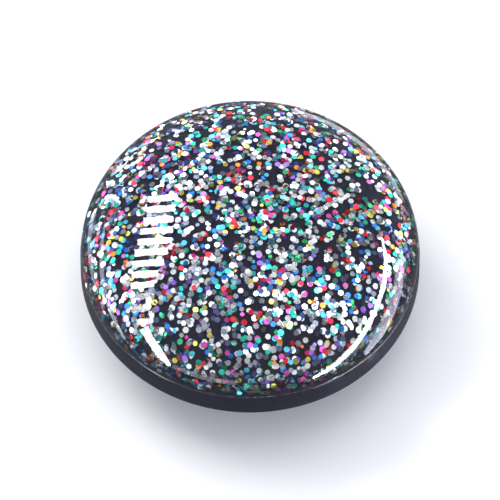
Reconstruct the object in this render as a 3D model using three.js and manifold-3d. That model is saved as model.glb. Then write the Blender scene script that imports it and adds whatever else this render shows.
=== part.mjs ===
// A round dome-front shank button: a moulded back plate with its sewing shank, a domed cup pressed over it,
// a layer of glitter on the dome, and a clear resin lens over the glitter.
// Millimetres, +Z up. The origin is the middle of the shank's flat end, which the button stands on, dome up.
// The shank is long along X, and the thread hole runs through it along Y.
import * as THREE from "three";
import { mergeVertices } from "three/addons/utils/BufferGeometryUtils.js";
import Module from "manifold-3d";

// ---- Driving dimensions, mm ----
const BUTTON_R = 9.0; // outside radius of the cup: an 18 mm (28 ligne) button
const SEGMENTS = 64; // sides of each turned surface

// heights above the shank's end
const SHANK_H = 2.8; // the plate's sewing face
const WELL_FLOOR_Z = 3.5; // bottom of the recess round the shank
const PLATE_TOP_Z = 4.1; // the plate's hidden face, against the cup's ledge
const RIM_Z = 3.1; // the cup's rim, so the plate stands proud of it
const SIDE_TOP_Z = 4.75; // where the cup's side ends and the clear lens begins
const APEX_Z = 8.8; // top of the clear lens

// back plate
const PLATE_R = 8.5;
const PLATE_EDGE = 0.2; // rounding of its sewing face's edge
const SPIGOT_R = 6.65; // ring that locates the plate in the cup's cavity
const SPIGOT_WALL = 0.8;
const SPIGOT_TOP_Z = 4.7;

// recess round the shank: a circle with two flats
const WELL_R = 3.42; // its upright wall, at the shank's ends
const WELL_LIP_R = 4.05; // outer edge of its rounded lip
const WELL_LIP_DEPTH = 0.47;
const WELL_FLAT = 3.05; // half width across the flats, at the sewing face
const RAMP_FOOT = 2.25; // half width at the foot of the ramps
const RAMP_DEPTH = 0.5;

// shank
const SHANK_HALF_LENGTH = 3.22;
const SHANK_HALF_WIDTH = 1.93;
const SHANK_CORNER = 1.0;
const SHANK_EDGE = 0.16;
const HOLE_R = 0.9; // thread hole
const HOLE_Z = 1.72;

// needle-guide pockets, one each side, in line with the thread hole
const GUIDE_IN = 3.7; // upright inner wall, from the axis
const GUIDE_OUT = 4.7; // where the sloping outer wall meets the sewing face
const GUIDE_FLOOR = 0.3; // width of its floor
const GUIDE_LENGTH = 3.0;
const GUIDE_DEPTH = 0.42;

// cup
const SOCKET_R = 8.62; // the plate drops into this, and its hidden face meets the cup's ledge
const RIM_ROUND = 0.22;
const CUP_WALL = 1.1; // the cavity under the dome is the dome's section inset by this

// face layers
const CLEAR_T = 0.8; // the clear lens, top and side
const GLITTER_T = 0.22;
const FIT = 0.04; // gap between the layers
const DOME_N = 2.35; // roundness of the dome's section: 2 is an ellipse, more is squarer

const wasm = await Module();
wasm.setup();

// A closed three.js geometry as a solid for joining and cutting.
function solid(geometry) {
  const g = geometry.clone();
  g.deleteAttribute("normal");
  g.deleteAttribute("uv");
  const merged = mergeVertices(g, 1e-4);
  return new wasm.Manifold(
    new wasm.Mesh({
      numProp: 3,
      vertProperties: merged.attributes.position.array,
      triVerts: new Uint32Array(merged.index.array),
    }),
  );
}

function geometryOf(manifold) {
  const m = manifold.getMesh();
  const g = new THREE.BufferGeometry();
  const v = new Float32Array(m.numVert * 3);
  for (let i = 0; i < m.numVert; i++)
    v.set(m.vertProperties.subarray(i * m.numProp, i * m.numProp + 3), i * 3);
  g.setAttribute("position", new THREE.BufferAttribute(v, 3));
  g.setIndex(new THREE.BufferAttribute(new Uint32Array(m.triVerts), 1));
  g.computeVertexNormals();
  return g;
}

// A profile of [radius, height] points turned about +Z. LatheGeometry turns about Y, so it is stood up.
// The profile runs so that its faces point outwards.
function turned(profile) {
  const points = profile.map(([r, z]) => new THREE.Vector2(Math.max(r, 0), z));
  return new THREE.LatheGeometry(points, SEGMENTS).rotateX(Math.PI / 2);
}

// An outline in X and Y, raised from z0 to z1.
function raised(points, z0, z1, bevel = 0) {
  const shape = new THREE.Shape(points.map(([x, y]) => new THREE.Vector2(x, y)));
  const g = new THREE.ExtrudeGeometry(shape, {
    depth: z1 - z0 - 2 * bevel,
    steps: 1,
    bevelEnabled: bevel > 0,
    bevelThickness: bevel,
    bevelSize: bevel,
    bevelOffset: -bevel,
    bevelSegments: 3,
  });
  return g.translate(0, 0, z0 + bevel);
}

// An outline in Y and Z, run along X from -half to +half.
function alongX(points, half) {
  // (y, z) drawn as (x, y), then turned so that the run is along X
  const shape = new THREE.Shape(points.map(([y, z]) => new THREE.Vector2(y, z)));
  const g = new THREE.ExtrudeGeometry(shape, {
    depth: 2 * half,
    bevelEnabled: false,
  });
  g.translate(0, 0, -half);
  const m = new THREE.Matrix4().set(
    0, 0, 1, 0,
    1, 0, 0, 0,
    0, 1, 0, 0,
    0, 0, 0, 1,
  );
  return g.applyMatrix4(m);
}

// The dome's section from its foot to the axis: a flattened arch, inset by t all round.
function arch(t, steps) {
  const a = BUTTON_R - 0.03 - t;
  const b = APEX_Z - SIDE_TOP_Z - t;
  const points = [];
  for (let i = 0; i <= steps; i++) {
    const u = ((i / steps) * Math.PI) / 2;
    const r = a * Math.pow(Math.cos(u), 2 / DOME_N);
    const z = SIDE_TOP_Z + b * Math.pow(Math.sin(u), 2 / DOME_N);
    points.push([i === steps ? 0 : r, z]);
  }
  return points;
}

// ---- Back plate with its shank ----
function shankOutline(half, width, corner, n = 5) {
  // ends are arcs about the axis, sides are straight, and the corners between them are round
  const cy = width - corner;
  const cx = Math.sqrt((half - corner) ** 2 - cy ** 2);
  const end = Math.atan2(cy, cx);
  const points = [];
  const arc = (x, y, r, from, to, steps) => {
    for (let i = 0; i <= steps; i++) {
      const a = from + ((to - from) * i) / steps;
      points.push([x + r * Math.cos(a), y + r * Math.sin(a)]);
    }
  };
  const quarter = Math.PI / 2;
  arc(0, 0, half, -end, end, 6);
  arc(cx, cy, corner, end, quarter, n);
  arc(-cx, cy, corner, quarter, Math.PI - end, n);
  arc(0, 0, half, Math.PI - end, Math.PI + end, 6);
  arc(-cx, -cy, corner, Math.PI + end, 3 * quarter, n);
  arc(cx, -cy, corner, 3 * quarter, 4 * quarter - end, n);
  return points.filter((p, i) => {
    const q = points[(i + points.length - 1) % points.length];
    return Math.hypot(p[0] - q[0], p[1] - q[1]) > 1e-3;
  });
}

const e = PLATE_EDGE;
const disc = turned([
  [0, SHANK_H],
  [PLATE_R - e, SHANK_H],
  [PLATE_R - e * 0.5, SHANK_H + e * 0.134],
  [PLATE_R - e * 0.134, SHANK_H + e * 0.5],
  [PLATE_R, SHANK_H + e],
  [PLATE_R, PLATE_TOP_Z],
  [SPIGOT_R, PLATE_TOP_Z],
  [SPIGOT_R, SPIGOT_TOP_Z],
  [SPIGOT_R - SPIGOT_WALL, SPIGOT_TOP_Z],
  [SPIGOT_R - SPIGOT_WALL, PLATE_TOP_Z],
  [0, PLATE_TOP_Z],
]);

// the recess: a turned cut with a rounded lip, kept to what lies between the two ramps
const lipCut = turned([
  [0, SHANK_H - 1],
  [WELL_LIP_R, SHANK_H - 1],
  [WELL_LIP_R, SHANK_H],
  ...[1, 2, 3, 4].map((i) => {
    const a = (i / 5) * (Math.PI / 2);
    return [
      WELL_R + (WELL_LIP_R - WELL_R) * (1 - Math.sin(a)),
      SHANK_H + WELL_LIP_DEPTH * (1 - Math.cos(a)),
    ];
  }),
  [WELL_R, SHANK_H + WELL_LIP_DEPTH],
  [WELL_R, WELL_FLOOR_Z],
  [0, WELL_FLOOR_Z],
]);
const rampCut = alongX(
  [
    [-WELL_FLAT, SHANK_H - 1],
    [WELL_FLAT, SHANK_H - 1],
    [WELL_FLAT, SHANK_H],
    [RAMP_FOOT, SHANK_H + RAMP_DEPTH],
    [RAMP_FOOT, WELL_FLOOR_Z + 0.5],
    [-RAMP_FOOT, WELL_FLOOR_Z + 0.5],
    [-RAMP_FOOT, SHANK_H + RAMP_DEPTH],
    [-WELL_FLAT, SHANK_H],
  ],
  WELL_LIP_R + 1,
);
const well = solid(lipCut).intersect(solid(rampCut));

const guide = (side) =>
  solid(
    alongX(
      side > 0
        ? [
            [GUIDE_IN, SHANK_H - 1],
            [GUIDE_OUT, SHANK_H - 1],
            [GUIDE_OUT, SHANK_H],
            [GUIDE_IN + GUIDE_FLOOR, SHANK_H + GUIDE_DEPTH],
            [GUIDE_IN, SHANK_H + GUIDE_DEPTH],
          ]
        : [
            [-GUIDE_OUT, SHANK_H - 1],
            [-GUIDE_IN, SHANK_H - 1],
            [-GUIDE_IN, SHANK_H + GUIDE_DEPTH],
            [-GUIDE_IN - GUIDE_FLOOR, SHANK_H + GUIDE_DEPTH],
            [-GUIDE_OUT, SHANK_H],
          ],
      GUIDE_LENGTH / 2,
    ),
  );

const shank = solid(
  raised(
    shankOutline(SHANK_HALF_LENGTH, SHANK_HALF_WIDTH, SHANK_CORNER),
    0,
    WELL_FLOOR_Z + 0.4,
    SHANK_EDGE,
  ),
);
// CylinderGeometry stands along Y, the way the thread runs
const hole = solid(
  new THREE.CylinderGeometry(HOLE_R, HOLE_R, 6, 24).translate(0, 0, HOLE_Z),
);

const backPlate = solid(disc)
  .subtract(well)
  .subtract(guide(1))
  .subtract(guide(-1))
  .add(shank)
  .subtract(hole);

// ---- Front cup ----
const baseInset = CLEAR_T + GLITTER_T + 2 * FIT;
const outerArch = arch(baseInset, 9);
const innerArch = arch(baseInset + CUP_WALL, 7).reverse();
const cavityR = innerArch[innerArch.length - 1][0];
const cup = turned([
  [SOCKET_R, RIM_Z],
  [BUTTON_R - RIM_ROUND, RIM_Z],
  [BUTTON_R - RIM_ROUND * 0.29, RIM_Z + RIM_ROUND * 0.29],
  [BUTTON_R, RIM_Z + RIM_ROUND],
  [BUTTON_R, SIDE_TOP_Z - FIT - 0.12],
  [BUTTON_R - 0.1, SIDE_TOP_Z - FIT],
  ...outerArch.map(([r, z], i) => (i === 0 ? [r, SIDE_TOP_Z - FIT] : [r, z])),
  ...innerArch,
  [cavityR, PLATE_TOP_Z + FIT],
  [SOCKET_R, PLATE_TOP_Z + FIT],
  [SOCKET_R, RIM_Z],
]);

// ---- Glitter layer ----
const glitterOut = arch(CLEAR_T + FIT, 9);
const glitterIn = arch(CLEAR_T + FIT + GLITTER_T, 9).reverse();
const glitter = turned([...glitterOut, ...glitterIn, glitterOut[0]]);

// ---- Clear lens ----
const clearOut = arch(0, 14);
const clearIn = arch(CLEAR_T, 9).reverse();
const clear = turned([...clearOut, ...clearIn, clearOut[0]]);

// ---- The button ----
const button = new THREE.Group();
button.name = "shank_button";
function part(name, geometry, settings) {
  const mesh = new THREE.Mesh(
    geometry,
    new THREE.MeshStandardMaterial(settings),
  );
  mesh.name = name;
  button.add(mesh);
}

part("back_plate", geometryOf(backPlate), {
  color: 0x24242d,
  roughness: 0.55,
  metalness: 0,
});
part("front_cup", cup, { color: 0x17171d, roughness: 0.35, metalness: 0 });
part("glitter_layer", glitter, {
  color: 0x8f97a8,
  roughness: 0.3,
  metalness: 0.6,
});
part("clear_dome", clear, {
  color: 0xf4f6ff,
  roughness: 0.04,
  metalness: 0,
  transparent: true,
  opacity: 0.25,
});

export default button;
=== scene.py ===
import math

import bmesh
import bpy
import numpy as np
from mathutils import Matrix, Vector, noise
from mathutils.bvhtree import BVHTree

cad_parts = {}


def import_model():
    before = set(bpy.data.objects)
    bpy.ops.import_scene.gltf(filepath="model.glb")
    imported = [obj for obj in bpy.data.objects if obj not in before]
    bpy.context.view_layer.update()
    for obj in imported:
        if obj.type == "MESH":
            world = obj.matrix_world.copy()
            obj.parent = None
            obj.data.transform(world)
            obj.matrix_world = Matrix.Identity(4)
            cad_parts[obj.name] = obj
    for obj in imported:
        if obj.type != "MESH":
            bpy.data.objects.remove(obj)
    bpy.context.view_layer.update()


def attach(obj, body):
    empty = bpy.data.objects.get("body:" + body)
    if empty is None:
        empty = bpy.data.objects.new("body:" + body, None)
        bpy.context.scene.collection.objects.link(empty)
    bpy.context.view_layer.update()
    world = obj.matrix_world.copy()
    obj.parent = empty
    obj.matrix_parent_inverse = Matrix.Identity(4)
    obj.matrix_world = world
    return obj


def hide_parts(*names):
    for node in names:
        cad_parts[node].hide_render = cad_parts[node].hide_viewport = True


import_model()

MM = 0.001
scene = bpy.context.scene

# ---------------------------------------------------------------- sizes, mm
# The same driving sizes as the CAD. Heights are above the shank's end.
BUTTON_R = 9.0
SHANK_H, WELL_FLOOR_Z, PLATE_TOP_Z = 2.8, 3.5, 4.1
RIM_Z, SIDE_TOP_Z, APEX_Z = 3.1, 4.75, 8.8
PLATE_R, SPIGOT_R, SPIGOT_WALL, SPIGOT_TOP_Z = 8.5, 6.65, 0.8, 4.7
WELL_R, WELL_LIP_R, WELL_LIP_DEPTH = 3.42, 4.05, 0.47
WELL_FLAT, RAMP_FOOT, RAMP_DEPTH = 3.05, 2.25, 0.5
SHANK_HALF_LENGTH, SHANK_HALF_WIDTH, SHANK_CORNER = 3.22, 1.93, 1.0
HOLE_R, HOLE_Z = 0.9, 1.72
GUIDE_IN, GUIDE_OUT, GUIDE_FLOOR, GUIDE_LENGTH, GUIDE_DEPTH = 3.7, 4.7, 0.3, 3.0, 0.42
SOCKET_R, CUP_WALL, FIT = 8.62, 1.1, 0.04
CLEAR_T, GLITTER_T = 0.8, 0.22
DOME_N = 2.35
BASE_INSET = CLEAR_T + GLITTER_T + 0.08  # the black dome under the glitter

TURN = 288  # sides of each turned surface


# ---------------------------------------------------------------- mesh tools
def fillet(corners, closed=True):
    """An outline with its corners rounded. Each corner is (x, y) or (x, y, radius) or (x, y, radius, steps)."""
    pts = [np.array(c[:2], float) for c in corners]
    out = []
    n = len(pts)
    for i, c in enumerate(corners):
        r = c[2] if len(c) > 2 else 0.0
        steps = c[3] if len(c) > 3 else 6
        if r <= 0 or (not closed and i in (0, n - 1)):
            out.append(tuple(pts[i]))
            continue
        a, b = pts[i - 1] - pts[i], pts[(i + 1) % n] - pts[i]
        la, lb = np.linalg.norm(a), np.linalg.norm(b)
        a, b = a / la, b / lb
        half = math.acos(max(-1.0, min(1.0, float(a @ b)))) / 2
        t = min(r / math.tan(half), 0.49 * la, 0.49 * lb)
        r = t * math.tan(half)
        mid = (a + b) / np.linalg.norm(a + b)
        centre = pts[i] + mid * r / math.sin(half)
        p, q = pts[i] + a * t - centre, pts[i] + b * t - centre
        a0, a1 = math.atan2(p[1], p[0]), math.atan2(q[1], q[0])
        d = (a1 - a0 + math.pi) % (2 * math.pi) - math.pi
        for k in range(steps + 1):
            w = a0 + d * k / steps
            out.append((centre[0] + r * math.cos(w), centre[1] + r * math.sin(w)))
    return out


def mesh_from(name, verts, faces):
    mesh = bpy.data.meshes.new(name)
    mesh.from_pydata([tuple(v) for v in verts], [], faces)
    bm = bmesh.new()
    bm.from_mesh(mesh)
    bmesh.ops.remove_doubles(bm, verts=bm.verts, dist=1e-8)
    bmesh.ops.recalc_face_normals(bm, faces=bm.faces)
    bm.to_mesh(mesh)
    bm.free()
    return mesh


def turned(name, profile, n=TURN, wave=None):
    """A profile of (radius, height) in mm turned about +Z. A point on the axis is one vertex. A profile that doesn't end on the axis closes on itself."""
    verts, rings = [], []
    for r, z in profile:
        if r < 1e-7:
            rings.append([len(verts)])
            verts.append((0.0, 0.0, z * MM))
        else:
            rings.append(list(range(len(verts), len(verts) + n)))
            for k in range(n):
                a = 2 * math.pi * k / n
                verts.append((r * MM * math.cos(a), r * MM * math.sin(a), z * MM))
    open_ends = len(rings[0]) == 1 and len(rings[-1]) == 1
    faces = []
    for i in range(len(rings) - (1 if open_ends else 0)):
        a, b = rings[i], rings[(i + 1) % len(rings)]
        if len(a) == 1 and len(b) == 1:
            continue
        for k in range(n):
            j = (k + 1) % n
            if len(a) == 1:
                faces.append((a[0], b[k], b[j]))
            elif len(b) == 1:
                faces.append((a[k], a[j], b[0]))
            else:
                faces.append((a[k], a[j], b[j], b[k]))
    if wave:
        verts = [wave(Vector(v)) for v in verts]
    return mesh_from(name, verts, faces)


def stacked(name, rings_mm):
    """A closed solid through equal-length outlines, each ([(x, y)], z), capped at both ends."""
    n = len(rings_mm[0][0])
    verts, faces = [], []
    for pts, z in rings_mm:
        verts += [(x * MM, y * MM, z * MM) for x, y in pts]
    for i in range(len(rings_mm) - 1):
        for k in range(n):
            j = (k + 1) % n
            faces.append((i * n + k, i * n + j, (i + 1) * n + j, (i + 1) * n + k))
    faces.append(tuple(range(n))[::-1])
    faces.append(tuple(range((len(rings_mm) - 1) * n, len(rings_mm) * n)))
    return mesh_from(name, verts, faces)


def run_along(name, outline, half, axis="x"):
    """An outline run from -half to +half along X (outline in Y, Z) or along Y (outline in X, Z)."""
    n = len(outline)
    verts, faces = [], []
    for s in (-half, half):
        for p, z in outline:
            verts.append(
                (s * MM, p * MM, z * MM) if axis == "x" else (p * MM, s * MM, z * MM)
            )
    for k in range(n):
        j = (k + 1) % n
        faces.append((k, j, n + j, n + k))
    faces.append(tuple(range(n))[::-1])
    faces.append(tuple(range(n, 2 * n)))
    return mesh_from(name, verts, faces)


def obj(name, mesh):
    o = bpy.data.objects.new(name, mesh)
    scene.collection.objects.link(o)
    return o


def combine(base, other, how):
    """base joined with, or cut by, other, both objects. The result stays on base, and other goes."""
    m = base.modifiers.new("b", "BOOLEAN")
    m.operation, m.object, m.solver = how, other, "EXACT"
    bpy.context.view_layer.update()
    dg = bpy.context.evaluated_depsgraph_get()
    mesh = bpy.data.meshes.new_from_object(base.evaluated_get(dg), depsgraph=dg)
    base.modifiers.clear()
    base.data = mesh
    bpy.data.objects.remove(other)
    return base


def weld(mesh):
    """Merges the coincident corners that cutting leaves behind."""
    bm = bmesh.new()
    bm.from_mesh(mesh)
    bmesh.ops.remove_doubles(bm, verts=bm.verts, dist=2e-8)
    bmesh.ops.dissolve_degenerate(bm, edges=bm.edges, dist=2e-8)
    bm.to_mesh(mesh)
    bm.free()


def soften(o, angle=32, weighted=True):
    """Smooth shading with real edges kept sharp, and flat faces kept flat."""
    o.data.shade_smooth()
    o.data.set_sharp_from_angle(angle=math.radians(angle))
    if weighted:
        m = o.modifiers.new("flat faces", "WEIGHTED_NORMAL")
        m.keep_sharp = True
        m.weight = 60


# ---------------------------------------------------------------- materials
class Nodes:
    """A short way to write a node tree."""

    def __init__(self, name):
        self.mat = bpy.data.materials.new(name)
        self.mat.use_nodes = True
        self.nt = self.mat.node_tree
        self.nt.nodes.clear()
        self.out = self.nt.nodes.new("ShaderNodeOutputMaterial")

    def add(self, kind, inputs=None, **props):
        n = self.nt.nodes.new("ShaderNode" + kind)
        for k, v in props.items():
            setattr(n, k, v)
        for k, v in (inputs or {}).items():
            s = n.inputs[k]
            if isinstance(v, bpy.types.NodeSocket):
                self.nt.links.new(v, s)
            else:
                s.default_value = v
        return n

    def maths(self, op, a, b=0.0, clamp=False):
        n = self.add("Math", operation=op, use_clamp=clamp)
        for i, v in enumerate((a, b)):
            if isinstance(v, bpy.types.NodeSocket):
                self.nt.links.new(v, n.inputs[i])
            else:
                n.inputs[i].default_value = v
        return n.outputs[0]

    def ramp(self, fac, low, high, a=0.0, b=1.0, smooth=True):
        n = self.add(
            "MapRange",
            {"Value": fac, "From Min": low, "From Max": high, "To Min": a, "To Max": b},
            interpolation_type="SMOOTHSTEP" if smooth else "LINEAR",
        )
        return n.outputs["Result"]

    def mix(self, fac, a, b):
        n = self.add("Mix", data_type="RGBA")
        for i, v in ((0, fac), (6, a), (7, b)):
            if isinstance(v, bpy.types.NodeSocket):
                self.nt.links.new(v, n.inputs[i])
            else:
                n.inputs[i].default_value = v
        return n.outputs[2]

    def place(self):
        """The point in mm, in the part's frame."""
        c = self.add("TexCoord")
        s = self.add("VectorMath", operation="SCALE")
        self.nt.links.new(c.outputs["Object"], s.inputs[0])
        s.inputs["Scale"].default_value = 1000.0
        return s.outputs[0]

    def noise(self, at, scale, detail=2.0, rough=0.5):
        return self.add(
            "TexNoise",
            {"Vector": at, "Scale": scale, "Detail": detail, "Roughness": rough},
        ).outputs[0]

    def finish(self, shader):
        self.nt.links.new(shader, self.out.inputs["Surface"])
        return self.mat


def rgba(r, g, b):
    return (r, g, b, 1.0)


def plate_plastic():
    """Matte black moulding: a spark-eroded grain, soft blotches, edges and slopes lightened by a painted highlight,
    painted shade in the recess round the shank, one scuffed patch, and dust, most of it on the shank's end.
    """
    k = Nodes("matte_black_moulding")
    at = k.place()
    xyz = k.add("SeparateXYZ", {0: at})
    z = xyz.outputs["Z"]
    facing = k.add("SeparateXYZ", {0: k.add("TexCoord").outputs["Normal"]})
    upright = k.maths("ABSOLUTE", facing.outputs["Z"])
    across = k.maths("ABSOLUTE", facing.outputs["Y"])
    out = k.add("VectorMath", {0: at}, operation="LENGTH").outputs["Value"]
    # painted highlight: 1 on a slope or rounded edge, 0 on the flat faces and the upright walls; these get a pale sheen
    # painted into their colour
    slope_highlight = k.maths("MULTIPLY", k.ramp(upright, 0.90, 0.992, 1.0, 0.0), k.ramp(upright, 0.15, 0.50))
    flat_slope = k.maths("MULTIPLY", k.ramp(across, 0.40, 0.50), k.ramp(out, 5.6, 6.2, 1.0, 0.0))
    slope_highlight = k.maths("MULTIPLY", slope_highlight, k.maths("SUBTRACT", 1.0, k.maths("MULTIPLY", flat_slope, 0.52)))
    # 1 in the recess and up the shank's walls towards it, where painted shade darkens the colour
    flat = k.add("VectorMath", {0: at, 1: (1.0, 1.0, 0.0)}, operation="MULTIPLY").outputs[0]
    reach = k.add("VectorMath", {0: flat}, operation="LENGTH").outputs["Value"]
    aside = k.maths("ABSOLUTE", xyz.outputs["Y"])
    deep = k.maths("MULTIPLY", k.ramp(z, 0.2, 2.6), k.ramp(reach, 3.40, 3.50, 1.0, 0.0))
    deep = k.maths("MULTIPLY", deep, k.ramp(aside, 2.96, 3.03, 1.0, 0.0))
    # and no painted highlight in the thread hole's bore
    bore = k.maths("MULTIPLY", k.ramp(aside, 1.80, 1.90, 1.0, 0.0), k.ramp(z, 0.25, 0.5))
    bore = k.maths("MULTIPLY", bore, k.ramp(reach, 2.4, 2.6, 1.0, 0.0))
    slope_highlight = k.maths("MULTIPLY", slope_highlight, k.maths("SUBTRACT", 1.0, bore))
    grain = k.noise(at, 5.5, 3.0, 0.62)
    fine = k.noise(at, 15.0, 2.0, 0.5)
    blotch = k.noise(at, 0.45, 4.0, 0.6)
    end = k.ramp(z, 0.02, 0.10, 1.0, 0.0)  # 1 on the shank's flat end

    def specks(scale, keep, size):
        """Round specks in some of the cells of a grid: keep is the share of cells left out."""
        c = k.add("TexVoronoi", {"Vector": at, "Scale": scale, "Randomness": 1.0})
        part = k.add("SeparateColor", {"Color": c.outputs["Color"]})
        r = k.ramp(part.outputs[1], 0.0, 1.0, size * 0.4, size, smooth=False)
        dot = k.maths("SUBTRACT", r, c.outputs["Distance"])
        dot = k.ramp(dot, 0.0, size * 0.5)
        return k.maths("MULTIPLY", dot, k.ramp(part.outputs[0], keep, keep + 0.02))

    dust = specks(1.1, 0.62, 0.075)
    crowd = k.maths("MULTIPLY", specks(2.3, 0.35, 0.24), end)
    crowd = k.maths("MAXIMUM", crowd, k.maths("MULTIPLY", specks(4.6, 0.3, 0.30), k.maths("MULTIPLY", end, 0.6)))
    dust = k.maths("MAXIMUM", dust, crowd)
    # a scuffed patch to one side: small light smears
    off = k.add("VectorMath", {0: at, 1: (5.4, 2.6, 2.8)}, operation="DISTANCE").outputs["Value"]
    near = k.ramp(off, 0.2, 2.5, 1.0, 0.0)
    smear = k.add("Mapping", {"Vector": at, "Rotation": (0, 0, 0.7), "Scale": (2.0, 4.2, 1.0)}).outputs[0]
    scuff = k.maths("MULTIPLY", k.ramp(k.noise(smear, 1.9, 5.0, 0.78), 0.44, 0.70), near)
    base = k.mix(blotch, rgba(0.022, 0.023, 0.056), rgba(0.032, 0.034, 0.080))
    base = k.mix(k.ramp(grain, 0.38, 0.72, 0.0, 0.75), base, rgba(0.060, 0.062, 0.130))
    base = k.mix(k.maths("MULTIPLY", end, 0.25), base, rgba(0.068, 0.070, 0.140))
    # painted shade: the recess floor and the shank's walls near it are darkened almost to black
    base = k.mix(k.maths("MULTIPLY", deep, 0.82), base, rgba(0.007, 0.007, 0.014))
    # painted highlight: the slopes and rounded edges are lightened to a pale lilac sheen, broken up by the grain and
    # blotches
    highlight_breakup = k.maths("MULTIPLY", k.ramp(grain, 0.25, 0.7, 0.75, 1.0), k.ramp(blotch, 0.36, 0.58, 0.55, 1.0))
    base = k.mix(k.maths("MULTIPLY", slope_highlight, highlight_breakup), base, rgba(0.52, 0.53, 0.74))
    base = k.mix(k.maths("MULTIPLY", scuff, 0.75), base, rgba(0.34, 0.34, 0.40))
    base = k.mix(k.maths("MULTIPLY", dust, 0.9), base, rgba(0.60, 0.60, 0.68))
    rough = k.maths("ADD", k.ramp(grain, 0.3, 0.7, 0.36, 0.50), k.maths("MULTIPLY", scuff, -0.06))
    height = k.maths("ADD", k.maths("MULTIPLY", grain, 0.7), k.maths("MULTIPLY", fine, 0.3))
    bump = k.add("Bump", {"Strength": 0.7, "Distance": 0.00004, "Height": height})
    p = k.add(
        "BsdfPrincipled",
        {"Base Color": base, "Roughness": rough, "Normal": bump.outputs[0]},
    )
    p.inputs["IOR"].default_value = 1.55
    return k.finish(p.outputs[0])


def cup_plastic():
    """Satin black moulding, smoother than the back, with a faint fine grain and blotches."""
    k = Nodes("satin_black_moulding")
    at = k.place()
    grain = k.noise(at, 12.0, 2.0, 0.5)
    blotch = k.noise(at, 0.6, 3.0, 0.6)
    base = k.mix(blotch, rgba(0.009, 0.009, 0.021), rgba(0.017, 0.017, 0.034))
    rough = k.ramp(blotch, 0.3, 0.7, 0.24, 0.34)
    bump = k.add("Bump", {"Strength": 0.25, "Distance": 0.00002, "Height": grain})
    p = k.add(
        "BsdfPrincipled",
        {"Base Color": base, "Roughness": rough, "Normal": bump.outputs[0]},
    )
    p.inputs["IOR"].default_value = 1.5
    return k.finish(p.outputs[0])


def wetted_plastic():
    """The same moulding where the resin wets it: the resin takes up its gloss, so it is only a deep, faintly blotched black."""
    k = Nodes("black_moulding_under_resin")
    at = k.place()
    blotch = k.noise(at, 0.9, 3.0, 0.6)
    base = k.mix(blotch, rgba(0.024, 0.025, 0.045), rgba(0.042, 0.044, 0.078))
    p = k.add("BsdfPrincipled", {"Base Color": base})
    p.inputs["Roughness"].default_value = 0.6
    p.inputs["IOR"].default_value = 1.5
    p.inputs["Specular IOR Level"].default_value = 0.0
    return k.finish(p.outputs[0])


def clear_resin():
    """Clear gloss resin: real glass optics, with the faintest ripple that poured resin keeps."""
    k = Nodes("clear_gloss_resin")
    at = k.place()
    ripple = k.noise(at, 0.8, 1.0, 0.4)
    bump = k.add("Bump", {"Strength": 0.12, "Distance": 0.00004, "Height": ripple})
    p = k.add("BsdfPrincipled", {"Normal": bump.outputs[0]})
    p.inputs["Base Color"].default_value = rgba(0.985, 0.988, 1.0)
    p.inputs["Roughness"].default_value = 0.0
    p.inputs["IOR"].default_value = 1.5
    p.inputs["Transmission Weight"].default_value = 1.0
    return k.finish(p.outputs[0])


def flake_metal(name, colour, rough, metal=1.0):
    m = bpy.data.materials.new("flake_" + name)
    m.use_nodes = True
    p = m.node_tree.nodes["Principled BSDF"]
    p.inputs["Base Color"].default_value = rgba(*colour)
    p.inputs["Roughness"].default_value = rough
    p.inputs["Metallic"].default_value = metal
    return m


# ---------------------------------------------------------------- back plate with its shank
def shank_outline(half, width, corner, n=10):
    cy = width - corner
    cx = math.sqrt((half - corner) ** 2 - cy**2)
    end = math.atan2(cy, cx)
    q = math.pi / 2
    pts = []

    def arc(x, y, r, a, b, steps):
        for i in range(steps + 1):
            w = a + (b - a) * i / steps
            pts.append((x + r * math.cos(w), y + r * math.sin(w)))

    def line(x0, x1, y, steps):
        for i in range(1, steps):
            pts.append((x0 + (x1 - x0) * i / steps, y))

    arc(0, 0, half, -end, end, 14)
    arc(cx, cy, corner, end, q, n)
    line(cx, -cx, width, 8)
    arc(-cx, cy, corner, q, math.pi - end, n)
    arc(0, 0, half, math.pi - end, math.pi + end, 14)
    arc(-cx, -cy, corner, math.pi + end, 3 * q, n)
    line(-cx, cx, -width, 8)
    arc(cx, -cy, corner, 3 * q, 4 * q - end, n)
    out = []
    for p in pts:
        if not out or math.dist(p, out[-1]) > 1e-4:
            out.append(p)
    if math.dist(out[0], out[-1]) < 1e-4:
        out.pop()
    return out


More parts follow.
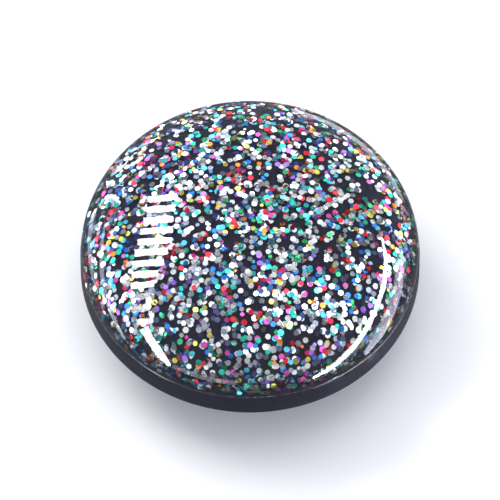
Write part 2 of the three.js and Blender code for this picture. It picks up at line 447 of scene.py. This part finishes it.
def make_back_plate():
    disc = obj(
        "back_plate_moulding",
        turned(
            "disc",
            fillet(
                [
                    (0, SHANK_H),
                    (PLATE_R, SHANK_H, 0.24, 10),
                    (PLATE_R, PLATE_TOP_Z, 0.06, 3),
                    (SPIGOT_R, PLATE_TOP_Z, 0.05, 2),
                    (SPIGOT_R, SPIGOT_TOP_Z, 0.15, 4),
                    (SPIGOT_R - SPIGOT_WALL, SPIGOT_TOP_Z, 0.15, 4),
                    (SPIGOT_R - SPIGOT_WALL, PLATE_TOP_Z, 0.1, 3),
                    (0, PLATE_TOP_Z),
                ],
                closed=False,
            ),
        ),
    )
    lip_w, lip_d = WELL_LIP_R - WELL_R, WELL_LIP_DEPTH
    quarter = [math.pi / 2 * i / 16 for i in range(17)]
    lip = turned(
        "lip",
        [(0, SHANK_H - 1), (WELL_R + lip_w + 0.05, SHANK_H - 1)]
        + [(WELL_R + lip_w + 0.05, SHANK_H - 0.004)]
        + [
            (WELL_R + lip_w * (1 - math.sin(a)), SHANK_H + lip_d * (1 - math.cos(a)))
            for a in quarter
        ]
        + fillet(
            [(WELL_R, SHANK_H + lip_d + 0.01), (WELL_R, WELL_FLOOR_Z, 0.12, 4), (0, WELL_FLOOR_Z)],
            closed=False,
        ),
    )
    ramp = run_along(
        "ramp",
        fillet(
            [
                (-WELL_FLAT - 0.35, SHANK_H - 1),
                (WELL_FLAT + 0.35, SHANK_H - 1),
                (WELL_FLAT + 0.35, SHANK_H - 0.002),
                (WELL_FLAT, SHANK_H, 0.35, 8),
                (RAMP_FOOT, SHANK_H + RAMP_DEPTH, 0.14, 5),
                (RAMP_FOOT, WELL_FLOOR_Z + 0.5),
                (-RAMP_FOOT, WELL_FLOOR_Z + 0.5),
                (-RAMP_FOOT, SHANK_H + RAMP_DEPTH, 0.14, 5),
                (-WELL_FLAT, SHANK_H, 0.35, 8),
                (-WELL_FLAT - 0.35, SHANK_H - 0.002),
            ]
        ),
        WELL_LIP_R + 1,
    )
    well = combine(obj("well", lip), obj("r", ramp), "INTERSECT")
    disc = combine(disc, well, "DIFFERENCE")

    for side in (1, -1):
        # the needle guide: steep inner wall, short floor, sloping outer wall, with rounded ends
        rings = []
        half_l, top = GUIDE_LENGTH / 2, SHANK_H
        for t in np.linspace(0, 1, 9):
            depth = GUIDE_DEPTH * t
            inner = GUIDE_IN + 0.10 * (1 - math.sin(t * math.pi / 2)) * -1 + 0.04 * t
            outer = GUIDE_OUT - (GUIDE_OUT - GUIDE_IN - GUIDE_FLOOR) * t
            hl = half_l - 0.12 * t
            rings.append(
                (
                    fillet(
                        [
                            (-hl, inner, 0.12, 4),
                            (hl, inner, 0.12, 4),
                            (hl, outer, 0.16, 4),
                            (-hl, outer, 0.16, 4),
                        ]
                    ),
                    top + depth,
                )
            )
        pts0 = rings[0][0]
        rings.insert(0, (pts0, top - 1.0))
        if side < 0:
            rings = [([(x, -y) for x, y in pts], z) for pts, z in rings]
        disc = combine(disc, obj("guide", stacked("g", rings)), "DIFFERENCE")

    rings = []
    edge = 0.17
    for k in range(9):
        a = (math.pi / 2) * k / 8
        inset, z = edge * (1 - math.sin(a)), edge * (1 - math.cos(a))
        rings.append(
            (
                shank_outline(
                    SHANK_HALF_LENGTH - inset,
                    SHANK_HALF_WIDTH - inset,
                    SHANK_CORNER - inset,
                ),
                z,
            )
        )
    for z in np.linspace(0.6, WELL_FLOOR_Z + 0.3, 6):
        rings.append(
            (shank_outline(SHANK_HALF_LENGTH, SHANK_HALF_WIDTH, SHANK_CORNER), z)
        )
    disc = combine(disc, obj("shank", stacked("s", rings)), "UNION")

    # the thread hole flares a little at both mouths
    prof = []
    w, flare = SHANK_HALF_WIDTH, 0.14
    prof.append((0, -w - 1))
    prof.append((HOLE_R + flare, -w - 1))
    for k in range(7):
        a = (math.pi / 2) * k / 6
        prof.append((HOLE_R + flare * (1 - math.sin(a)), -w - 0.001 + flare * (1 - math.cos(a))))
    for k in range(7):
        a = (math.pi / 2) * (6 - k) / 6
        prof.append((HOLE_R + flare * (1 - math.sin(a)), w + 0.001 - flare * (1 - math.cos(a))))
    prof.append((HOLE_R + flare, w + 1))
    prof.append((0, w + 1))
    hole = turned("h", prof, 72)
    hole.transform(
        Matrix.Translation((0, 0, HOLE_Z * MM)) @ Matrix.Rotation(math.pi / 2, 4, "X")
    )
    disc = combine(disc, obj("hole", hole), "DIFFERENCE")
    disc.name = "back_plate_moulding"
    weld(disc.data)
    soften(disc, 17)
    return disc


# ---------------------------------------------------------------- the dome's section
def arch_point(t, u):
    """Radius and height, mm, on the section inset by t, at u from 0 at the foot to 1 on the axis."""
    a, b = BUTTON_R - 0.03 - t, APEX_Z - SIDE_TOP_Z - t
    w = u * math.pi / 2
    c, s = max(math.cos(w), 0.0), max(math.sin(w), 0.0)
    r = 0.0 if u >= 1 else a * c ** (2 / DOME_N)
    return r, SIDE_TOP_Z + b * s ** (2 / DOME_N)


def arch(t, steps):
    """Points along the section, evenly spaced along its length."""
    fine = np.array([arch_point(t, i / 4000) for i in range(4001)])
    run = np.concatenate([[0], np.cumsum(np.linalg.norm(np.diff(fine, axis=0), axis=1))])
    at = np.linspace(0, run[-1], steps + 1)
    pts = np.stack([np.interp(at, run, fine[:, 0]), np.interp(at, run, fine[:, 1])], 1)
    pts[-1, 0] = 0.0
    return [tuple(p) for p in pts]


def make_cup():
    outer = arch(BASE_INSET, 60)
    inner = arch(BASE_INSET + CUP_WALL, 40)[::-1]
    profile = (
        fillet(
            [
                (SOCKET_R, PLATE_TOP_Z + FIT),
                (SOCKET_R, RIM_Z, 0.07, 4),
                (BUTTON_R, RIM_Z, 0.24, 10),
                (BUTTON_R, SIDE_TOP_Z - 0.02, 0.10, 6),
                (outer[0][0], SIDE_TOP_Z - 0.02),
            ],
            closed=False,
        )
        + outer
        + inner
        + [(inner[-1][0], PLATE_TOP_Z + FIT)]
    )
    cup = obj("front_cup_moulding", turned("cup", profile))
    soften(cup, 40)
    return cup


def make_clear():
    """The poured lens. Its underside is just inside the black dome's surface, so the flakes lie within the resin with no air between."""
    outer = arch(0.0, 96)
    inner = arch(BASE_INSET + 0.012, 60)[::-1]

    def wave(v):
        r = math.hypot(v.x, v.y) / MM
        if r > BUTTON_R - 0.6 or v.z / MM < SIDE_TOP_Z + 1.0:
            return v
        n = (noise.noise(Vector((v.x, v.y, v.z)) * 330.0) - 1.0) * 0.006 * MM
        d = Vector((v.x * 0.3, v.y * 0.3, v.z)).normalized()
        fade = min(1.0, (BUTTON_R - 0.6 - r) / 1.5)
        return v + d * n * fade

    foot = [(outer[0][0] - 0.0, SIDE_TOP_Z - 0.028)]
    profile = foot + outer + inner + [(inner[-1][0], SIDE_TOP_Z - 0.028)]
    lens = obj("clear_lens", turned("lens", profile, TURN, wave))
    soften(lens, 50)
    return lens


# ---------------------------------------------------------------- the flakes
# name, colour, roughness, share
PALETTE = [
    ("silver", (0.90, 0.95, 1.00), 0.18, 0.30),
    ("pale_silver", (0.97, 0.99, 1.00), 0.28, 0.14),
    ("steel", (0.34, 0.37, 0.50), 0.26, 0.075),
    ("slate", (0.11, 0.12, 0.22), 0.28, 0.075),
    ("navy", (0.03, 0.05, 0.18), 0.30, 0.04),
    ("cyan", (0.14, 0.76, 0.95), 0.22, 0.075),
    ("turquoise", (0.05, 0.72, 0.58), 0.22, 0.065),
    ("green", (0.06, 0.52, 0.20), 0.24, 0.040),
    ("blue", (0.05, 0.28, 0.88), 0.22, 0.050),
    ("violet", (0.34, 0.16, 0.82), 0.24, 0.030),
    ("magenta", (0.86, 0.12, 0.55), 0.22, 0.040),
    ("red", (0.90, 0.04, 0.07), 0.22, 0.070),
    ("orange", (0.96, 0.30, 0.05), 0.22, 0.018),
    ("gold", (0.95, 0.80, 0.16), 0.22, 0.040),
]


FOOT_FLAKES = 760


def make_flakes(count=4600, seed=20261):
    rng = np.random.default_rng(seed)
    # positions spread evenly by area over the section, turned about the axis
    us = np.linspace(0, 1, 4001)
    mid = BASE_INSET - 0.12
    line = np.array([arch_point(mid, u) for u in us])
    seg = np.linalg.norm(np.diff(line, axis=0), axis=1)
    ring = (line[:-1, 0] + line[1:, 0]) / 2 * seg
    cum = np.concatenate([[0], np.cumsum(ring)])
    lo = cum[-1] * 0.012  # a bare band at the very foot
    u = np.interp(rng.uniform(lo, cum[-1], count), cum, us)
    phi = rng.uniform(0, 2 * math.pi, count)
    depth = rng.beta(1.2, 1.4, count)  # 0 deep, 1 near the top of the layer
    inset = BASE_INSET - 0.02 - depth * 0.24
    tilt = np.abs(rng.normal(0, math.radians(9.5), count))
    wild = rng.random(count) < 0.16
    tilt[wild] = np.abs(rng.normal(0, math.radians(22), int(wild.sum())))
    lean = rng.uniform(0, 2 * math.pi, count)
    spin = rng.uniform(0, 2 * math.pi, count)
    across = np.clip(rng.normal(0.272, 0.022, count), 0.18, 0.33)  # across the flats
    small = rng.random(count) < 0.10
    across[small] *= 0.7
    thick = 0.022
    shares = np.array([p[3] for p in PALETTE])
    kind = rng.choice(len(PALETTE), count, p=shares / shares.sum())

    # some have slid down and lie on the cup's shoulder, round the dome's foot
    foot = np.arange(count) < FOOT_FLAKES
    foot_r = BUTTON_R - 0.21 - 0.85 * rng.beta(1.1, 1.0, count)
    foot_z = SIDE_TOP_Z + 0.05 + 0.16 * rng.random(count)
    tilt[foot] = np.abs(rng.normal(0, math.radians(24), FOOT_FLAKES))

    verts = np.zeros((count, 12, 3))
    for i in range(count):
        r, z = arch_point(inset[i], u[i])
        r1, z1 = arch_point(inset[i], max(u[i] - 0.002, 0))
        r2, z2 = arch_point(inset[i], min(u[i] + 0.002, 1))
        tr, tz = r2 - r1, z2 - z1
        ln = math.hypot(tr, tz) or 1.0
        # outward normal of the section
        nr, nz = tz / ln, -tr / ln
        if foot[i]:
            r, z, nr, nz = foot_r[i], foot_z[i], 0.30, 0.954
        c, s = math.cos(phi[i]), math.sin(phi[i])
        n = np.array([nr * c, nr * s, nz])
        t1 = np.array([-s, c, 0.0])
        t2 = np.cross(n, t1)
        d = math.cos(lean[i]) * t1 + math.sin(lean[i]) * t2
        n = math.cos(tilt[i]) * n + math.sin(tilt[i]) * d
        n /= np.linalg.norm(n)
        t1 = np.cross(n, [0.3, 0.5, 0.81])
        t1 /= np.linalg.norm(t1)
        t2 = np.cross(n, t1)
        centre = np.array([r * c, r * s, z])
        rad = across[i] / math.sqrt(3)
        for k in range(6):
            w = spin[i] + k * math.pi / 3
            p = centre + rad * (math.cos(w) * t1 + math.sin(w) * t2)
            verts[i, k] = p - n * thick / 2
            verts[i, 6 + k] = p + n * thick / 2
    verts = verts.reshape(-1, 3) * MM
    faces = []
    for i in range(count):
        o = 12 * i
        faces.append([o + k for k in (5, 4, 3, 2, 1, 0)])
        faces.append([o + 6 + k for k in range(6)])
        for k in range(6):
            j = (k + 1) % 6
            faces.append([o + k, o + j, o + 6 + j, o + 6 + k])
    mesh = bpy.data.meshes.new("flakes")
    mesh.from_pydata(verts.tolist(), [], faces)
    for p in PALETTE:
        mesh.materials.append(flake_metal(p[0], p[1], p[2]))
    mesh.polygons.foreach_set("material_index", np.repeat(kind, 8).astype(np.int32))
    mesh.update()
    return obj("glitter_flakes", mesh)


# ---------------------------------------------------------------- build
plate = make_back_plate()
plate.data.materials.clear()
plate.data.materials.append(plate_plastic())
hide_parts("back_plate")

cup = make_cup()
cup.data.materials.clear()
cup.data.materials.append(cup_plastic())
cup.data.materials.append(wetted_plastic())
for face in cup.data.polygons:
    # the shoulder and the dome above it are under the resin
    if face.center.z > (SIDE_TOP_Z - 0.025) * MM and math.hypot(face.center.x, face.center.y) < (BUTTON_R - 0.10) * MM:
        face.material_index = 1
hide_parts("front_cup")

flakes = make_flakes()
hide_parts("glitter_layer")

lens = make_clear()
lens.data.materials.clear()
lens.data.materials.append(clear_resin())
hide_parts("clear_dome")

for piece in (plate, cup, flakes, lens):
    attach(piece, "root")

# ---------------------------------------------------------------- floor, light, camera
floor = obj(
    "floor",
    mesh_from("floor", [(-3, -3, -2e-5), (3, -3, -2e-5), (3, 3, -2e-5), (-3, 3, -2e-5)], [(0, 1, 2, 3)]),
)
if floor.data.polygons[0].normal.z < 0:
    floor.data.flip_normals()
k = Nodes("floor_white")
geo = k.add("NewGeometry")
white = k.add("BsdfPrincipled")
white.inputs["Base Color"].default_value = rgba(0.86, 0.865, 0.88)
white.inputs["Roughness"].default_value = 0.6
clear = k.add("BsdfTransparent")
both = k.add("MixShader", {0: geo.outputs["Backfacing"], 1: white.outputs[0], 2: clear.outputs[0]})
floor.data.materials.append(k.finish(both.outputs[0]))
# the tent goes on below it, so that the button's back is lit too
floor.visible_diffuse = floor.visible_glossy = False
floor.visible_transmission = floor.visible_shadow = False

def studio_world():
    """A white tent: pale to the camera, bright near the horizon and dim overhead in reflections, even for soft light, and broken into soft patches for the light that reaches the flakes through the resin."""
    world = bpy.data.worlds.new("studio")
    scene.world = world
    world.use_nodes = True
    nt = world.node_tree
    nt.nodes.clear()

    def add(kind, **props):
        n = nt.nodes.new("ShaderNode" + kind)
        for a, b in props.items():
            setattr(n, a, b)
        return n

    def link(a, b):
        nt.links.new(a, b)

    out, back = add("OutputWorld"), add("Background")
    link(back.outputs[0], out.inputs[0])
    path, coord = add("LightPath"), add("TexCoord")
    sep = add("SeparateXYZ")
    link(coord.outputs["Generated"], sep.inputs[0])

    def pick(switch, a, b):
        m = add("Mix", data_type="RGBA")
        link(switch, m.inputs[0])
        for i, v in ((6, a), (7, b)):
            if isinstance(v, tuple):
                m.inputs[i].default_value = v
            else:
                link(v, m.inputs[i])
        return m.outputs[2]

    def sweep(value, low, high, a, b):
        m = add("MapRange", interpolation_type="SMOOTHSTEP")
        link(value, m.inputs["Value"])
        for key, v in (("From Min", low), ("From Max", high), ("To Min", a), ("To Max", b)):
            m.inputs[key].default_value = v
        return m.outputs["Result"]

    def tint(value, colour):
        m = add("VectorMath", operation="SCALE")
        m.inputs[0].default_value = colour
        link(value, m.inputs["Scale"])
        return m.outputs[0]

    tall = add("Math", operation="ABSOLUTE")
    link(sep.outputs["Z"], tall.inputs[0])
    tall = tall.outputs[0]
    sharp = tint(sweep(tall, 0.10, 0.60, LENS_HORIZON, OVERHEAD), (0.93, 0.95, 1.0))
    band = add("Math", operation="MINIMUM")
    link(sweep(sep.outputs["Z"], -0.03, 0.07, 0.22, SATIN_HORIZON), band.inputs[0])
    link(sweep(sep.outputs["Z"], 0.30, 0.60, SATIN_HORIZON, OVERHEAD), band.inputs[1])
    satin = tint(band.outputs[0], (0.90, 0.90, 1.0))
    cells = add("TexNoise")
    link(coord.outputs["Generated"], cells.inputs["Vector"])
    cells.inputs["Scale"].default_value = 2.6
    cells.inputs["Detail"].default_value = 1.0
    level = add("Math", operation="MULTIPLY")
    link(sweep(cells.outputs[0], 0.46, 0.65, SPARK_LOW, SPARK_HIGH), level.inputs[0])
    link(sweep(sep.outputs["Y"], -0.75, 0.10, 0.22, 1.05), level.inputs[1])
    patches = tint(level.outputs[0], (0.96, 0.98, 1.0))
    below = sweep(sep.outputs["Z"], -0.3, 0.1, 0.8 * SOFT, SOFT)
    soft = pick(path.outputs["Is Singular Ray"], satin, sharp)
    soft = pick(path.outputs["Is Transmission Ray"], soft, patches)
    soft = pick(path.outputs["Is Diffuse Ray"], soft, tint(below, (0.92, 0.94, 1.0)))
    whole = pick(path.outputs["Is Camera Ray"], soft, (0.97, 0.975, 1.0, 1))
    link(whole, back.inputs[0])


LENS_HORIZON, SATIN_HORIZON, OVERHEAD = 0.5, 1.5, 0.26
SPARK_LOW, SPARK_HIGH, SOFT = 0.06, 6.6, 0.95
studio_world()

centre = Vector((0, 0, 0.0045))


def softbox(name, azimuth, elevation, distance, width, height, power, colour=(1, 1, 1)):
    """An area light aimed at the button. Azimuth 0 is behind it, seen from the camera, and positive is to the right."""
    a, e = math.radians(azimuth), math.radians(elevation)
    way = Vector((math.sin(a) * math.cos(e), math.cos(a) * math.cos(e), math.sin(e)))
    data = bpy.data.lights.new(name, "AREA")
    data.shape = "RECTANGLE"
    data.size, data.size_y = width, height
    data.energy = power
    data.color = colour
    o = bpy.data.objects.new(name, data)
    scene.collection.objects.link(o)
    o.location = centre + way * distance
    o.rotation_mode = "QUATERNION"
    o.rotation_quaternion = (-way).to_track_quat("-Z", "Y")
    o.visible_camera = False
    return o


key = softbox("key", -50.0, 48.0, 0.6, 0.30, 0.30, 1.6, (1.0, 0.985, 0.96))
key.visible_glossy = key.visible_transmission = False
fill = softbox("fill", 20.0, 74.0, 0.7, 0.5, 0.5, 1.2, (0.96, 0.98, 1.0))
fill.visible_glossy = fill.visible_transmission = False
for i, azimuth in enumerate((-65.0, 25.0, 115.0, 205.0)):
    # low lights below the floor, which rake across the back and pick out its slopes
    low = softbox(f"low_{i}", azimuth, -16.0, 0.5, 0.30, 0.12, 0.3, (0.94, 0.94, 1.0))
    low.visible_transmission = False

cam_data = bpy.data.cameras.new("camera")
cam = bpy.data.objects.new("camera", cam_data)
scene.collection.objects.link(cam)
scene.camera = cam
ELEVATION, DISTANCE, SPAN = 58.0, 0.60, 0.0265
cam_data.sensor_width = 36.0
cam_data.lens = 36.0 * DISTANCE / SPAN
e = math.radians(ELEVATION)
back = Vector((0, -math.cos(e), math.sin(e)))
target = Vector((0, 0, 0.0050))
cam.location = target + back * DISTANCE
cam.rotation_mode = "QUATERNION"
cam.rotation_quaternion = (-back).to_track_quat("-Z", "Y")
cam_data.clip_start, cam_data.clip_end = 0.01, 20.0

# Light panels, seen only in the gloss. Each is laid out by where it should mirror in the lens, as (x, y) mm across and up the picture.
def glow(name, colour, strength):
    k = Nodes(name)
    return k.finish(k.add("Emission", {"Color": rgba(*colour), "Strength": strength}).outputs[0])


def mirrored_cards(name, grids, material, distance=0.005):
    """Sheets of light, held close to the lens, whose mirror image in it fills each grid of picture points."""
    m = lens.data
    tree = BVHTree.FromPolygons([v.co.copy() for v in m.vertices], [tuple(p.vertices) for p in m.polygons])
    up = Vector((0, back.z, -back.y))
    verts, faces = [], []

    def smooth_normal(p):
        # the lens's own smooth shape, without its facets
        r, z = math.hypot(p.x, p.y) / MM, max(p.z / MM - SIDE_TOP_Z, 1e-6)
        a, b = BUTTON_R - 0.03, APEX_Z - SIDE_TOP_Z
        gr, gz = (r / a) ** (DOME_N - 1) / a, (z / b) ** (DOME_N - 1) / b
        c = Vector((p.x, p.y, 0)).normalized()
        return (c * gr + Vector((0, 0, gz))).normalized()

    for grid in grids:
        rows = []
        for line in grid:
            row = []
            for x, y in line:
                start = target + Vector((1, 0, 0)) * x * MM + up * y * MM + back * 0.05
                hit = tree.ray_cast(start, -back)[0]
                n = smooth_normal(hit)
                way = -back - 2 * (-back).dot(n) * n
                row.append(len(verts))
                verts.append(hit + way.normalized() * distance)
            rows.append(row)
        for a, b in zip(rows, rows[1:]):
            for i in range(len(a) - 1):
                faces.append((a[i], a[i + 1], b[i + 1], b[i]))
    mesh = bpy.data.meshes.new(name)
    mesh.from_pydata([tuple(v) for v in verts], [], faces)
    mesh.materials.append(material)
    o = obj(name, mesh)
    o.visible_camera = o.visible_diffuse = o.visible_shadow = o.visible_transmission = False
    return o


# (height of the middle, left end, right end) of each bar of the striped panel
BARS = [
    (2.75, -5.40, -3.85),
    (2.18, -5.48, -3.95),
    (1.60, -5.62, -4.05),
    (1.03, -5.80, -4.08),
    (0.46, -5.94, -4.15),
    (-0.11, -6.10, -4.35),
    (-0.68, -6.20, -4.56),
    (-1.25, -6.24, -4.85),
    (-1.82, -6.30, -5.08),
    (-2.45, -6.36, -5.25),
    (-3.10, -6.25, -5.25),
    (-3.75, -6.00, -5.10),
]


def bar(y, x0, x1, half=0.17, dip=0.06):
    xs = np.linspace(x0, x1, 7)
    lift = [dip * (2 * (x - x0) / (x1 - x0) - 1) for x in xs]
    return [
        [(x, y - half + l) for x, l in zip(xs, lift)],
        [(x, y + half + l) for x, l in zip(xs, lift)],
    ]


def ribbon(points, widths, steps=40):
    """A ribbon through picture points, each widened left and right by half its width."""
    p = np.array(points, float)
    t = np.concatenate([[0], np.cumsum(np.linalg.norm(np.diff(p, axis=0), axis=1))])
    at = np.linspace(0, t[-1], steps)
    x, y = np.interp(at, t, p[:, 0]), np.interp(at, t, p[:, 1])
    for _ in range(3):
        x[1:-1] = (x[:-2] + 2 * x[1:-1] + x[2:]) / 4
        y[1:-1] = (y[:-2] + 2 * y[1:-1] + y[2:]) / 4
    w = np.interp(at, t, widths) / 2
    dx, dy = np.gradient(x), np.gradient(y)
    n = np.hypot(dx, dy)
    nx, ny = -dy / n, dx / n
    return [
        [(a, b) for a, b in zip(x - nx * w, y - ny * w)],
        [(a, b) for a, b in zip(x + nx * w, y + ny * w)],
    ]


mirrored_cards("panel_bars", [bar(*b) for b in BARS[:9]], glow("panel_glow", (1, 1, 1), 30.0))
mirrored_cards("panel_bars_low", [bar(*b) for b in BARS[9:]], glow("panel_glow_low", (0.96, 0.98, 1), 13.0))
mirrored_cards(
    "panel_tail",
    [ribbon([(-5.6, -4.1), (-5.2, -4.8), (-4.72, -5.5), (-4.2, -6.1)], [0.5, 0.42, 0.42, 0.2])],
    glow("tail_glow", (1, 1, 1), 22.0),
)
mirrored_cards(
    "right_strip",
    [
        ribbon(
            [(6.96, 0.66), (7.2, -0.37), (7.12, -1.6), (6.76, -2.84), (6.2, -4.08), (5.4, -5.2), (4.3, -6.2), (3.3, -6.75)],
            [0.10, 0.20, 0.24, 0.24, 0.26, 0.26, 0.22, 0.10],
        )
    ],
    glow("strip_glow", (1, 1, 1), 26.0),
)
mirrored_cards(
    "outer_arcs",
    [
        ribbon(
            [(7.95, 0.2), (7.98, -0.8), (7.82, -2.0), (7.45, -3.2), (6.85, -4.4), (6.05, -5.5)],
            [0.15, 0.42, 0.50, 0.50, 0.45, 0.2],
        ),
        ribbon(
            [(-7.70, 1.3), (-7.85, 0.2), (-7.85, -1.1), (-7.65, -2.4), (-7.2, -3.6), (-6.6, -4.7)],
            [0.08, 0.20, 0.22, 0.22, 0.20, 0.1],
        ),
    ],
    glow("arc_glow", (0.80, 0.82, 1.0), 6.5),
)

scene.view_settings.view_transform = "Standard"
